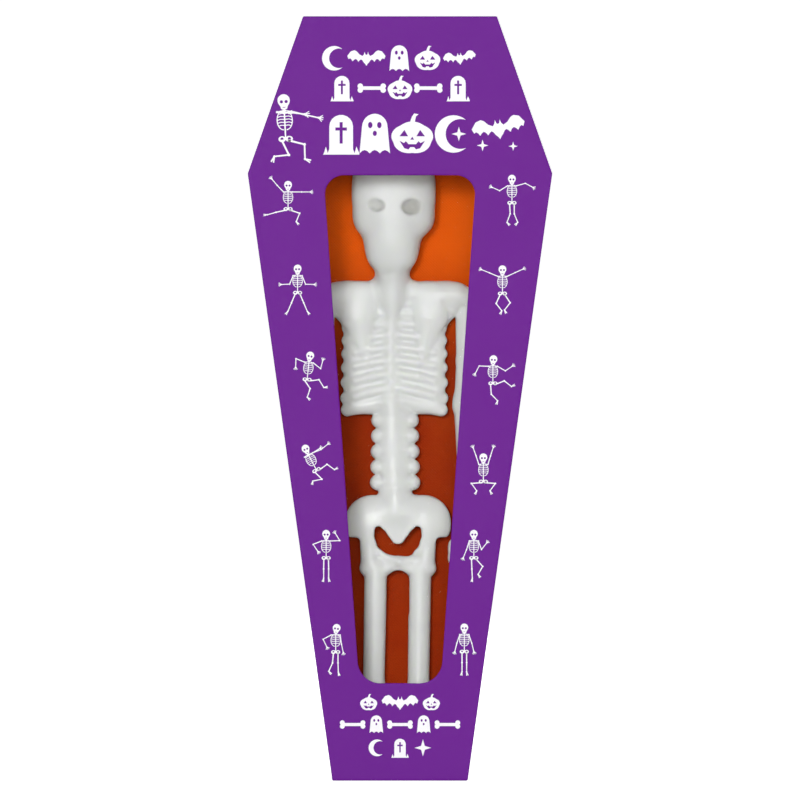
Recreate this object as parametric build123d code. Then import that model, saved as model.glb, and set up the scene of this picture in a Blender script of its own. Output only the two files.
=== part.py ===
"""A stretchy rubber skeleton lying in a coffin-shaped window carton.

The carton stands on its foot end: +X is to the right, -Y to the front and +Z up. The origin is the
middle of the foot end's underside. All sizes are in millimetres.

The carton is folded card: a tray of a back panel and six walls, and a lid of a front panel with a
window that swings on the crease of the lower left wall and is held by three tuck flaps. The
skeleton is one moulding of soft rubber. It is cut here into the stiffer lumps between its flex
zones, and each lump hinges on a round end that is centred on its flex zone.
"""

import math
import os

from build123d import *

# --- Carton ---------------------------------------------------------------------------------------
coffin_height = 200.0
coffin_depth = 36.0
head_width = 50.7
shoulder_width = 79.7
shoulder_height = 158.9
foot_width = 35.4
card = 0.5

# Window in the front panel, centred on the coffin. Its widths are those of its sharp corners.
window_top = 158.4
window_bottom = 25.5
window_top_width = 40.0
window_bottom_width = 21.4
window_top_radius = 5.0
window_bottom_radius = 6.0
film_thickness = 0.2
film_margin = 5.0

# Flaps and tabs.
tuck_depth = 8.0
tuck_clearance = 1.2
tuck_setback = 6.0
tuck_taper = 3.0
tab_width = 7.0
tab_to_tuck = 2.0

# Fabric liner on the back panel.
liner_thickness = 0.8
liner_clearance = 0.5

# --- Skeleton -------------------------------------------------------------------------------------
# Heights are above the soles and half widths are from the skeleton's middle, for a skeleton of
# drawn_height. The whole figure is then sized to the coffin that it lies in.
drawn_height = 166.3
foot_room = 1.5
head_room = 31.2
figure_clearance = 0.4
figure_shift = -1.0

flex_gap = 0.4
side_gap = 0.5
back_bend = 12.0

cranium_radii = (10.7, 7.5, 14.4)
cranium_height = 151.9
jaw_radii = (7.6, 6.4, 9.4)
jaw_height = 139.6
skull_offset = -0.9

neck_radius = 3.4
chest_top = 128.5
chest_bottom = 93.9
chest_half_width = 14.8
chest_depth = 8.0
chest_corner = 3.0

lumbar_half_width = 5.5
lumbar_depth = 6.5
pelvis_top = 72.8
pelvis_depth = 7.0
pelvis_wing_half_width = 14.4
pelvis_wing_height = 65.0
pelvis_hip_half_width = 9.6
pelvis_bottom = 55.0
pelvis_hole_half_width = 6.0
pelvis_hole_top = 64.2
pelvis_hole_bottom = 57.4
sacrum_half_width = 2.6
sacrum_tip = 60.4

upper_arm_radius = 2.35
forearm_radius = 2.2
wrist_radius = 1.9
shoulder_level = 124.5
elbow_level = 99.0
wrist_level = 64.0
hand_width = 5.4
hand_depth = 3.2
fingertip_level = 54.0

thigh_radius = 2.9
shin_radius = 2.5
ankle_radius = 2.2
hip_spacing = 11.9
knee_level = 23.0
ankle_level = 4.5
foot_length = 10.5
foot_width_each = 5.4
foot_height = 3.2

edge_round = 1.4

# --- Worked out from the sizes above --------------------------------------------------------------
front_face = -coffin_depth / 2
back_face = coffin_depth / 2
lid_inside = front_face + card
tray_floor = back_face - card
liner_front = tray_floor - liner_thickness
figure_back = liner_front - figure_clearance
fit = (coffin_height - 2 * card - foot_room - head_room) / drawn_height
sole_level = card + foot_room

# Corners of the coffin's outline, anticlockwise from the front: foot, shoulders, head.
outline = [
    (-foot_width / 2, 0),
    (foot_width / 2, 0),
    (shoulder_width / 2, shoulder_height),
    (head_width / 2, coffin_height),
    (-head_width / 2, coffin_height),
    (-shoulder_width / 2, shoulder_height),
]
wall_names = ["foot", "lower_right", "upper_right", "head", "upper_left", "lower_left"]

window_outline = [
    (-window_bottom_width / 2, window_bottom),
    (window_bottom_width / 2, window_bottom),
    (window_top_width / 2, window_top),
    (-window_top_width / 2, window_top),
]


def side(points, i):
    """Start, end, unit direction and inward normal of side i of an anticlockwise outline."""
    (x0, z0), (x1, z1) = points[i], points[(i + 1) % len(points)]
    length = math.hypot(x1 - x0, z1 - z0)
    direction = ((x1 - x0) / length, (z1 - z0) / length)
    return (x0, z0), (x1, z1), direction, (-direction[1], direction[0])


def inset(points, distance):
    """The corners of a convex outline with each side moved inwards by distance."""
    moved = []
    for i in range(len(points)):
        corner, _, d0, n0 = side(points, i - 1)
        corner, _, d1, n1 = side(points, i)
        turn = d0[0] * d1[1] - d0[1] * d1[0]
        slide = distance * (1 - n0[0] * n1[0] - n0[1] * n1[1]) / turn
        moved.append(
            (
                corner[0] + distance * n1[0] + slide * d1[0],
                corner[1] + distance * n1[1] + slide * d1[1],
            )
        )
    return moved


def plate(points, front, back):
    """A flat prism with its outline in the XZ plane, from Y front to Y back."""
    face = make_face(Polyline(*[(x, front, z) for x, z in points], close=True))
    return extrude(face, amount=back - front, dir=(0, 1, 0))


def along(point, direction, distance):
    """A point of the XZ plane moved along a direction."""
    return (point[0] + direction[0] * distance, point[1] + direction[1] * distance)


# --- Carton tray ----------------------------------------------------------------------------------
def make_back_panel():
    return plate(outline, tray_floor, back_face)


def make_wall(i):
    """One side of the tray, mitred to its neighbours."""
    inner = inset(outline, card)
    after = (i + 1) % len(outline)
    return plate([outline[i], outline[after], inner[after], inner[i]], lid_inside, tray_floor)


def make_glue_tabs():
    """A tab at each corner: it carries on from one wall and is glued inside the next one."""
    against_wall = inset(outline, card)
    inside_tab = inset(outline, 2 * card)
    front = lid_inside + tuck_depth + tab_to_tuck
    tabs = []
    for i in range(len(outline)):
        corner, _, direction, inward = side(against_wall, i)
        far = along(corner, direction, tab_width)
        tabs.append(plate([corner, far, along(far, inward, card), inside_tab[i]], front, tray_floor))
    return Compound(children=tabs)


def make_liner():
    return plate(inset(outline, 2 * card + liner_clearance), liner_front, tray_floor)


# --- Carton lid -----------------------------------------------------------------------------------
def make_front_panel():
    """The lid's face, with the die-cut window."""
    panel = plate(outline, front_face, lid_inside)
    hole = plate(window_outline, front_face - card, lid_inside + card)
    hole = fillet(hole.edges().filter_by(Axis.Y).sort_by(Axis.Z)[:2], window_bottom_radius)
    hole = fillet(hole.edges().filter_by(Axis.Y).sort_by(Axis.Z)[-2:], window_top_radius)
    return panel - hole


def make_window_film():
    return plate(inset(window_outline, -film_margin), lid_inside, lid_inside + film_thickness)


def tuck_crease(i):
    """Ends of a tuck flap's crease, its direction and the inward normal."""
    line = inset(outline, card + tuck_clearance)
    start, end, direction, inward = side(line, i)
    return along(start, direction, tuck_setback), along(end, direction, -tuck_setback), direction, inward


def make_tuck_flap(i):
    """A flap with slanted ends that stands inside wall i when the lid is shut."""
    start, end, direction, inward = tuck_crease(i)
    tip = lid_inside + tuck_depth
    tip_start, tip_end = along(start, direction, tuck_taper), along(end, direction, -tuck_taper)
    corners = [
        (start[0], lid_inside, start[1]),
        (end[0], lid_inside, end[1]),
        (tip_end[0], tip, tip_end[1]),
        (tip_start[0], tip, tip_start[1]),
    ]
    face = make_face(Polyline(*corners, close=True))
    return extrude(face, amount=card, dir=(inward[0], 0, inward[1]))


# --- Skeleton -------------------------------------------------------------------------------------
def at(x, z):
    """Coffin X and Z of a point of the skeleton, from its middle and its soles."""
    return figure_shift + x * fit, sole_level + z * fit


def ball(radius, x, y, z):
    return Pos(x, y, z) * Sphere(radius)


def hanging(radius, x, y, top, bottom):
    """A round limb with a ball end at top and a flat end at bottom."""
    rod = Pos(x, y, (top + bottom) / 2) * Cylinder(radius, top - bottom)
    return ball(radius, x, y, top) + rod


def egg(radii, x, y, z):
    """An ellipsoid with the given radii along X, Y and Z."""
    return Pos(x, y, z) * scale(Sphere(1), by=tuple(r * fit for r in radii))


def rounded(solid, radius):
    """A flat-backed moulding: the edges round its front face are softened."""
    front = solid.faces().sort_by(Axis.Y)[0]
    return fillet(front.outer_wire().edges(), radius)


# Depths of the flex zones, half a limb's thickness off the liner.
neck_y = figure_back - neck_radius * fit
lumbar_y = figure_back - lumbar_depth * fit / 2
chest_y = figure_back - chest_depth * fit / 2
arm_y = figure_back - upper_arm_radius * fit
leg_y = figure_back - thigh_radius * fit

# Flex zones between the lumps, as points on the hinge axes.
arm_x = (chest_half_width + upper_arm_radius) * fit + side_gap
neck_pivot = (
    figure_shift + skull_offset * fit,
    neck_y,
    at(0, chest_top)[1] + flex_gap + neck_radius * fit,
)
waist_pivot = (figure_shift, lumbar_y, at(0, pelvis_top)[1] + flex_gap + lumbar_depth * fit / 2)
chest_lift = chest_depth * fit / 2 * math.sin(math.radians(back_bend)) + flex_gap
chest_pivot = (figure_shift, chest_y, at(0, chest_bottom)[1] + flex_gap)


def arm_pivot(sign, level):
    """A flex zone of the left (-1) or right (+1) arm."""
    return figure_shift + sign * arm_x, arm_y, at(0, level)[1]


def leg_pivot(sign, level):
    """A flex zone of the left (-1) or right (+1) leg."""
    return at(sign * hip_spacing / 2, 0)[0], leg_y, at(0, level)[1]


hip_level = pelvis_bottom - thigh_radius - flex_gap / fit


def make_skull():
    """Cranium and jaw, cut flat where the neck begins."""
    x, _, base = neck_pivot
    back = figure_back
    cranium = egg(cranium_radii, x, back - cranium_radii[1] * fit, at(0, cranium_height)[1])
    jaw = egg(jaw_radii, x, back - jaw_radii[1] * fit - side_gap, at(0, jaw_height)[1])
    below = Pos(x, back, base - coffin_depth / 2) * Box(coffin_depth, 2 * coffin_depth, coffin_depth)
    return cranium + jaw - below


def make_neck():
    """A half ball, flat side up, centred on the flex zone."""
    x, y, z = neck_pivot
    above = Pos(x, y, z + coffin_depth / 2) * Box(coffin_depth, coffin_depth, coffin_depth)
    return ball(neck_radius * fit, x, y, z) - above


def make_chest():
    """Rib cage and shoulders."""
    w, c = chest_half_width, chest_corner
    half = [(0, chest_bottom), (w - c, chest_bottom), (w, chest_bottom + c)]
    half += [(w, chest_top - c), (w - c, chest_top), (0, chest_top)]
    points = [at(x, z) for x, z in half] + [at(-x, z) for x, z in half[-2:0:-1]]
    block = plate(points, figure_back - chest_depth * fit, figure_back)
    return rounded(block, edge_round * fit)


def make_lumbar_spine():
    """The waist. It swings under the chest, and the pelvis rolls on its round lower end."""
    x, y, z = waist_pivot
    top = at(0, chest_bottom)[1] - chest_lift
    width, thickness = 2 * lumbar_half_width * fit, lumbar_depth * fit
    block = Pos(x, y, (z + top) / 2) * Box(width, thickness, top - z)
    roll = Pos(x, y, z) * Rot(0, 90, 0) * Cylinder(thickness / 2, width)
    return block + roll


def make_pelvis():
    """Hip bones round a U-shaped hole, with the sacrum's tip hanging into it."""
    half = [
        (0, pelvis_bottom),
        (pelvis_hip_half_width, pelvis_bottom),
        (pelvis_hip_half_width, pelvis_hole_bottom),
        (pelvis_wing_half_width, pelvis_wing_height),
        (pelvis_wing_half_width - chest_corner, pelvis_top - chest_corner / 2),
        (lumbar_half_width, pelvis_top),
        (0, pelvis_top),
    ]
    points = [at(x, z) for x, z in half] + [at(-x, z) for x, z in half[-2:0:-1]]
    front = figure_back - pelvis_depth * fit
    block = rounded(plate(points, front, figure_back), edge_round * fit)
    hole = [
        (-pelvis_hole_half_width, pelvis_hole_top),
        (-sacrum_half_width, pelvis_hole_top),
        (0, sacrum_tip),
        (sacrum_half_width, pelvis_hole_top),
        (pelvis_hole_half_width, pelvis_hole_top),
        (sacrum_half_width, pelvis_hole_bottom),
        (-sacrum_half_width, pelvis_hole_bottom),
    ]
    return block - plate([at(x, z) for x, z in hole[::-1]], front - card, figure_back + card)


def lower_end(pivot, radius):
    """Where a limb stops above the ball end of the next one."""
    return pivot[2] + radius * fit + flex_gap


def make_upper_arm(sign):
    x, y, z = arm_pivot(sign, shoulder_level)
    end = lower_end(arm_pivot(sign, elbow_level), forearm_radius)
    return hanging(upper_arm_radius * fit, x, y, z, end)


def make_forearm(sign):
    x, y, z = arm_pivot(sign, elbow_level)
    end = lower_end(arm_pivot(sign, wrist_level), wrist_radius)
    return hanging(forearm_radius * fit, x, y, z, end)


def make_hand(sign):
    """A mitten of palm and fingers under the wrist's ball end."""
    x, y, z = arm_pivot(sign, wrist_level)
    tip = at(0, fingertip_level)[1]
    palm = Box(hand_width * fit, hand_depth * fit, z - tip)
    palm = fillet(palm.edges().filter_by(Axis.Y).group_by(Axis.Z)[0], hand_width * fit / 3)
    return ball(wrist_radius * fit, x, y, z) + Pos(x, y, (z + tip) / 2) * palm


def make_thigh(sign):
    x, y, z = leg_pivot(sign, hip_level)
    end = lower_end(leg_pivot(sign, knee_level), shin_radius)
    return hanging(thigh_radius * fit, x, y, z, end)


def make_shin(sign):
    x, y, z = leg_pivot(sign, knee_level)
    end = lower_end(leg_pivot(sign, ankle_level), ankle_radius)
    return hanging(shin_radius * fit, x, y, z, end)


def make_foot(sign):
    """A flat foot that points to the front, under the ankle's ball end."""
    x, y, z = leg_pivot(sign, ankle_level)
    heel = y + ankle_radius * fit
    length, height = foot_length * fit, foot_height * fit
    sole = Box(foot_width_each * fit, length, height)
    sole = fillet(sole.edges().filter_by(Axis.Z).group_by(Axis.Y)[0], foot_width_each * fit / 3)
    slab = Pos(x, heel - length / 2, sole_level + height / 2) * sole
    stem = Pos(x, y, (z + sole_level) / 2) * Cylinder(ankle_radius * fit, z - sole_level)
    return ball(ankle_radius * fit, x, y, z) + stem + slab


# --- Parts ----------------------------------------------------------------------------------------
parts = {"back_panel": make_back_panel()}
for number, wall in enumerate(wall_names):
    parts[f"{wall}_wall"] = make_wall(number)
parts["glue_tabs"] = make_glue_tabs()
parts["fabric_liner"] = make_liner()
parts["front_panel"] = make_front_panel()
parts["window_film"] = make_window_film()
for number in (1, 2, 3):
    parts[f"{wall_names[number]}_tuck_flap"] = make_tuck_flap(number)
parts["skull"] = make_skull()
parts["neck"] = make_neck()
parts["chest"] = make_chest()
parts["lumbar_spine"] = make_lumbar_spine()
parts["pelvis"] = make_pelvis()
for hand, sign in (("left", -1), ("right", 1)):
    parts[f"{hand}_upper_arm"] = make_upper_arm(sign)
    parts[f"{hand}_forearm"] = make_forearm(sign)
    parts[f"{hand}_hand"] = make_hand(sign)
    parts[f"{hand}_thigh"] = make_thigh(sign)
    parts[f"{hand}_shin"] = make_shin(sign)
    parts[f"{hand}_foot"] = make_foot(sign)

os.makedirs("parts", exist_ok=True)
for name, solid in parts.items():
    export_step(solid, f"parts/{name}.step")
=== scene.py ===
"""The looks of a stretchy rubber skeleton in its coffin-shaped window carton."""

import math

import bmesh
import bpy
import numpy as np
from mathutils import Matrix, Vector
from mathutils.geometry import tessellate_polygon


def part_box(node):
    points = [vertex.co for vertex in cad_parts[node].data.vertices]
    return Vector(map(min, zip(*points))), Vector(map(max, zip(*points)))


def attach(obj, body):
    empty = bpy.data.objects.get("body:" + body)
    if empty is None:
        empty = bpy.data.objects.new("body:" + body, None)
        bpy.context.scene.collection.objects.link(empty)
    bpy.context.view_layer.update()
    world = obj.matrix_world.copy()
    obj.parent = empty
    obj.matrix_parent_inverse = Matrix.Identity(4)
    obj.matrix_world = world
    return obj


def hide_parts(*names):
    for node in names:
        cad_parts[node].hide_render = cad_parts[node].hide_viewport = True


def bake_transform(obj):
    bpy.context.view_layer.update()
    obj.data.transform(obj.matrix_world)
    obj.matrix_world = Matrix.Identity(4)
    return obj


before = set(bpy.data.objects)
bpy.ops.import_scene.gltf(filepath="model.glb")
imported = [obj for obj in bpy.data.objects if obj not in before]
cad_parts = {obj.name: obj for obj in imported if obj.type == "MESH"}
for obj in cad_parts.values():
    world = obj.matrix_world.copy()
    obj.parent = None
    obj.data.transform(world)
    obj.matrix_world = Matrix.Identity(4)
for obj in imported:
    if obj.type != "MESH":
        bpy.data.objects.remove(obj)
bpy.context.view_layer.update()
MM = 0.001


# --- Sizes read from the frame, in millimetres ------------------------------------------------------
def node_box(name):
    """Lowest and highest corner of a CAD node, in millimetres."""
    low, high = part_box(name)
    return np.array(low) / MM, np.array(high) / MM


tray_low, tray_high = node_box("back_panel")
film_low, film_high = node_box("window_film")
liner_low, liner_high = node_box("fabric_liner")
chest_low, chest_high = node_box("chest")

CARD = tray_high[1] - tray_low[1]
FRONT, LID_INSIDE = (corner[1] for corner in node_box("front_panel"))
BACK = tray_high[1]
COFFIN_HEIGHT = tray_high[2]
HEAD_HALF = node_box("head_wall")[1][0]
FOOT_HALF = node_box("foot_wall")[1][0]
SHOULDER_HALF = tray_high[0]
SHOULDER_LEVEL = node_box("upper_left_wall")[0][2]
FIGURE_BACK = chest_high[1]
FIGURE_X = (chest_low[0] + chest_high[0]) / 2
SKULL_X = sum(corner[0] for corner in node_box("skull")) / 2

# The window's own edges. The film reaches past them by its glued margin.
FILM_MARGIN = 5.0
WINDOW_TOP = film_high[2] - FILM_MARGIN
WINDOW_BOTTOM = film_low[2] + FILM_MARGIN
WINDOW_TOP_HALF = 20.0
WINDOW_BOTTOM_HALF = 10.7
WINDOW_TOP_RADIUS = 5.0
WINDOW_BOTTOM_RADIUS = 6.0


def coffin_half(z):
    """Half the coffin's width at a height below the shoulders."""
    return FOOT_HALF + (SHOULDER_HALF - FOOT_HALF) * z / SHOULDER_LEVEL


def window_half(z):
    """Half the window's width at a height."""
    share = (z - WINDOW_BOTTOM) / (WINDOW_TOP - WINDOW_BOTTOM)
    return WINDOW_BOTTOM_HALF + (WINDOW_TOP_HALF - WINDOW_BOTTOM_HALF) * share


# --- Mesh helpers -----------------------------------------------------------------------------------
def mesh_object(name, points, faces, smooth=True):
    """A mesh piece from points in millimetres."""
    mesh = bpy.data.meshes.new(name)
    mesh.from_pydata((np.array(points, float) * MM).tolist(), [], [list(f) for f in faces])
    mesh.validate()
    mesh.update()
    if smooth:
        mesh.shade_smooth()
    made = bpy.data.objects.new(name, mesh)
    bpy.context.scene.collection.objects.link(made)
    return made


def strip_faces(rows, count, closed=True):
    """The quads between rows of points, each row count points long."""
    steps = range(count if closed else count - 1)
    return [(a + i, a + (i + 1) % count, a + count + (i + 1) % count, a + count + i)
            for a in range(0, (rows - 1) * count, count) for i in steps]


def store(obj, name, values):
    """Keeps one number for each vertex as an attribute that a material can read."""
    layer = obj.data.attributes.new(name, "FLOAT", "POINT")
    layer.data.foreach_set("value", np.array(values, np.float32))


def arc_corner(before, corner, after, radius, steps):
    """Points that round off a corner of an outline."""
    b, c, a = (np.array(p, float) for p in (before, corner, after))
    u, v = (b - c) / np.linalg.norm(b - c), (a - c) / np.linalg.norm(a - c)
    half = math.acos(float(np.clip(u @ v, -1, 1))) / 2
    reach = radius / math.tan(half)
    middle = c + (u + v) / np.linalg.norm(u + v) * radius / math.sin(half)
    start, end = c + u * reach - middle, c + v * reach - middle
    turn = math.pi - 2 * half
    made = []
    for i in range(steps + 1):
        w = turn * i / steps
        made.append(middle + (start * math.sin(turn - w) + end * math.sin(w)) / math.sin(turn))
    return made


def rounded_outline(corners, radii, steps=4):
    """An outline with rounded corners, the same number of points at each."""
    count = len(corners)
    made = []
    for i in range(count):
        made += arc_corner(corners[i - 1], corners[i], corners[(i + 1) % count], radii[i], steps)
    return made


def inset(corners, distance):
    """The corners of a convex anticlockwise outline, each side moved inwards by distance."""
    made = []
    count = len(corners)
    for i in range(count):
        before, corner, after = (np.array(corners[j % count], float) for j in (i - 1, i, i + 1))
        d0, d1 = (corner - before), (after - corner)
        d0, d1 = d0 / np.linalg.norm(d0), d1 / np.linalg.norm(d1)
        n0, n1 = np.array([-d0[1], d0[0]]), np.array([-d1[1], d1[0]])
        slide = (1 - n0 @ n1) / (d0[0] * d1[1] - d0[1] * d1[0])
        made.append(tuple(corner + distance * (n1 + slide * d1)))
    return made


COFFIN = [
    (-FOOT_HALF, 0.0),
    (FOOT_HALF, 0.0),
    (SHOULDER_HALF, SHOULDER_LEVEL),
    (HEAD_HALF, COFFIN_HEIGHT),
    (-HEAD_HALF, COFFIN_HEIGHT),
    (-SHOULDER_HALF, SHOULDER_LEVEL),
]
WINDOW = [
    (-WINDOW_BOTTOM_HALF, WINDOW_BOTTOM),
    (WINDOW_BOTTOM_HALF, WINDOW_BOTTOM),
    (WINDOW_TOP_HALF, WINDOW_TOP),
    (-WINDOW_TOP_HALF, WINDOW_TOP),
]


# --- Materials --------------------------------------------------------------------------------------
def new_group(name, inputs, outputs):
    """A shader node group with named inputs and outputs."""
    group = bpy.data.node_groups.new(name, "ShaderNodeTree")
    for label, kind, value in inputs:
        socket = group.interface.new_socket(label, in_out="INPUT", socket_type=kind)
        if value is not None:
            socket.default_value = value
    for label, kind in outputs:
        group.interface.new_socket(label, in_out="OUTPUT", socket_type=kind)
    entry = group.nodes.new("NodeGroupInput")
    leave = group.nodes.new("NodeGroupOutput")
    return group, entry, leave


def node(tree, kind, links=(), **settings):
    """A node with its settings made and its inputs linked or filled in."""
    made = tree.nodes.new(kind)
    for key, value in settings.items():
        setattr(made, key, value)
    for label, source in dict(links).items():
        if isinstance(source, bpy.types.NodeSocket):
            tree.links.new(source, made.inputs[label])
        else:
            made.inputs[label].default_value = source
    return made


def maths(tree, operation, a, b=0.5, c=0.5, clamp=False):
    """One sum on numbers or sockets."""
    made = node(tree, "ShaderNodeMath", {0: a, 1: b, 2: c}, operation=operation, use_clamp=clamp)
    return made.outputs[0]


def mixed(tree, factor, a, b):
    """A colour between two colours."""
    made = node(tree, "ShaderNodeMix", data_type="RGBA")
    for index, source in ((0, factor), (6, a), (7, b)):
        if isinstance(source, bpy.types.NodeSocket):
            tree.links.new(source, made.inputs[index])
        else:
            made.inputs[index].default_value = source
    return made.outputs[2]


def ranged(tree, value, low, high, to_low=0.0, to_high=1.0):
    """A value moved from one range to another, and held inside it."""
    made = node(
        tree,
        "ShaderNodeMapRange",
        {"Value": value, "From Min": low, "From Max": high, "To Min": to_low, "To Max": to_high},
    )
    return made.outputs["Result"]


def board_grain_group():
    """Paper fibres and the mottle of a printed or bare board."""
    group, entry, leave = new_group(
        "board grain",
        [("Vector", "NodeSocketVector", None), ("Fibre Size", "NodeSocketFloat", 2500.0),
         ("Mottle Size", "NodeSocketFloat", 60.0)],
        [("Fibre", "NodeSocketFloat"), ("Mottle", "NodeSocketFloat")],
    )
    fibre = node(group, "ShaderNodeTexNoise",
                 {"Vector": entry.outputs["Vector"], "Scale": entry.outputs["Fibre Size"],
                  "Detail": 3.0, "Roughness": 0.6})
    mottle = node(group, "ShaderNodeTexNoise",
                  {"Vector": entry.outputs["Vector"], "Scale": entry.outputs["Mottle Size"],
                   "Detail": 4.0, "Roughness": 0.55})
    group.links.new(fibre.outputs["Fac"], leave.inputs["Fibre"])
    group.links.new(mottle.outputs["Fac"], leave.inputs["Mottle"])
    return group


def fold_wear_group():
    """Where a printed fold or cut edge has rubbed through: 1 is bare board."""
    group, entry, leave = new_group(
        "fold wear",
        [("Vector", "NodeSocketVector", None), ("Fold", "NodeSocketFloat", 0.0),
         ("Amount", "NodeSocketFloat", 0.5), ("Patch Size", "NodeSocketFloat", 220.0)],
        [("Wear", "NodeSocketFloat")],
    )
    patches = node(group, "ShaderNodeTexNoise",
                   {"Vector": entry.outputs["Vector"], "Scale": entry.outputs["Patch Size"],
                    "Detail": 5.0, "Roughness": 0.7})
    limit = maths(group, "MULTIPLY_ADD", entry.outputs["Amount"], -0.5, 0.78)
    over = maths(group, "SUBTRACT", patches.outputs["Fac"], limit)
    soft = maths(group, "MULTIPLY", over, 9.0, clamp=True)
    worn = maths(group, "MULTIPLY", soft, entry.outputs["Fold"], clamp=True)
    group.links.new(worn, leave.inputs["Wear"])
    return group


BOARD_GRAIN = board_grain_group()
FOLD_WEAR = fold_wear_group()


def new_material(name, **sockets):
    """A material with a Principled shader whose plain values are set on its sockets."""
    material = bpy.data.materials.new(name)
    material.use_nodes = True
    tree = material.node_tree
    shader = tree.nodes["Principled BSDF"]
    for label, value in sockets.items():
        shader.inputs[label.replace("_", " ")].default_value = value
    return material, tree, shader


def object_place(tree):
    """The place on the piece, in metres."""
    return node(tree, "ShaderNodeTexCoord").outputs["Object"]


def use_group(tree, group, links):
    """A node group placed in a material with its own values."""
    return node(tree, "ShaderNodeGroup", links, node_tree=group)


def coloured(tree, shader, tone, rough=None):
    """Gives a material its colour pattern and, where there is one, its roughness pattern."""
    tree.links.new(tone, shader.inputs["Base Color"])
    if rough is not None:
        tree.links.new(rough, shader.inputs["Roughness"])


def bump(tree, shader, height, strength, distance):
    """Raises a material's surface by a height pattern. The distance is in metres."""
    made = node(tree, "ShaderNodeBump", {"Height": height, "Strength": strength, "Distance": distance})
    tree.links.new(made.outputs["Normal"], shader.inputs["Normal"])


def printed_card_material():
    """Purple print under a satin varnish, rubbed pale along the folds."""
    material, tree, shader = new_material(
        "printed purple card", Roughness=0.5, Specular_IOR_Level=0.06
    )
    place = object_place(tree)
    grain = use_group(tree, BOARD_GRAIN, {"Vector": place, "Fibre Size": 1800.0, "Mottle Size": 45.0})
    fold = node(tree, "ShaderNodeAttribute", attribute_name="fold").outputs["Fac"]
    wear = use_group(tree, FOLD_WEAR, {"Vector": place, "Fold": fold, "Amount": 0.12})
    ink = mixed(tree, grain.outputs["Mottle"], (0.130, 0.0085, 0.246, 1), (0.144, 0.0115, 0.270, 1))
    worn = mixed(tree, wear.outputs["Wear"], ink, (0.42, 0.34, 0.50, 1))
    coloured(tree, shader, worn, ranged(tree, grain.outputs["Fibre"], 0.3, 0.7, 0.36, 0.50))
    bump(tree, shader, grain.outputs["Fibre"], 0.12, 0.00005)
    return material


def bare_card_material():
    """The uncoated inside and the cut edges of the board."""
    material, tree, shader = new_material("bare board", Roughness=0.9)
    grain = use_group(tree, BOARD_GRAIN,
                      {"Vector": object_place(tree), "Fibre Size": 1200.0, "Mottle Size": 160.0})
    tone = mixed(tree, grain.outputs["Mottle"], (0.62, 0.59, 0.54, 1), (0.78, 0.76, 0.72, 1))
    flecks = maths(tree, "GREATER_THAN", grain.outputs["Fibre"], 0.68)
    tone = mixed(tree, maths(tree, "MULTIPLY", flecks, 0.3), tone, (0.36, 0.32, 0.27, 1))
    tree.links.new(tone, shader.inputs["Base Color"])
    bump(tree, shader, grain.outputs["Fibre"], 0.35, 0.00008)
    return material


def white_ink_material():
    """White print, a little uneven where the purple shows through."""
    material, tree, shader = new_material("white print", Roughness=0.5, Specular_IOR_Level=0.06)
    grain = use_group(tree, BOARD_GRAIN,
                      {"Vector": object_place(tree), "Fibre Size": 2200.0, "Mottle Size": 90.0})
    tone = mixed(tree, grain.outputs["Fibre"], (0.86, 0.84, 0.88, 1), (0.97, 0.96, 0.98, 1))
    tree.links.new(tone, shader.inputs["Base Color"])
    bump(tree, shader, grain.outputs["Fibre"], 0.1, 0.00003)
    return material


def rubber_material():
    """Soft white rubber: faintly translucent, with a skin that is a little uneven, and painted shade at the
    bottom of the eye sockets.
    """
    material, tree, shader = new_material(
        "soft white rubber",
        Roughness=0.4,
        Subsurface_Weight=0.35,
        Subsurface_Radius=(0.9, 1.0, 0.75),
        Subsurface_Scale=0.0016,
        Specular_IOR_Level=0.45,
    )
    place = object_place(tree)
    cloud = node(tree, "ShaderNodeTexNoise", {"Vector": place, "Scale": 90.0, "Detail": 3.0})
    skin = node(tree, "ShaderNodeTexNoise", {"Vector": place, "Scale": 900.0, "Detail": 3.0})
    tone = mixed(tree, cloud.outputs["Fac"], (0.76, 0.785, 0.77, 1), (0.845, 0.875, 0.865, 1))
    # Painted shade: a greyer colour where the eye sockets are deepest, standing for the shade in the hollows.
    painted_socket_shade = node(tree, "ShaderNodeAttribute", attribute_name="painted_socket_shade").outputs["Fac"]
    tone = mixed(tree, painted_socket_shade, tone, (0.46, 0.46, 0.42, 1))
    coloured(tree, shader, tone, ranged(tree, cloud.outputs["Fac"], 0.35, 0.65, 0.34, 0.48))
    bump(tree, shader, skin.outputs["Fac"], 0.18, 0.0001)
    return material


DOT_PITCH = 0.75
# Heights between which the cloth turns from red to orange; the darker red below is partly painted shade.
RED_BELOW, ORANGE_ABOVE = 110.0, 140.0


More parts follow.
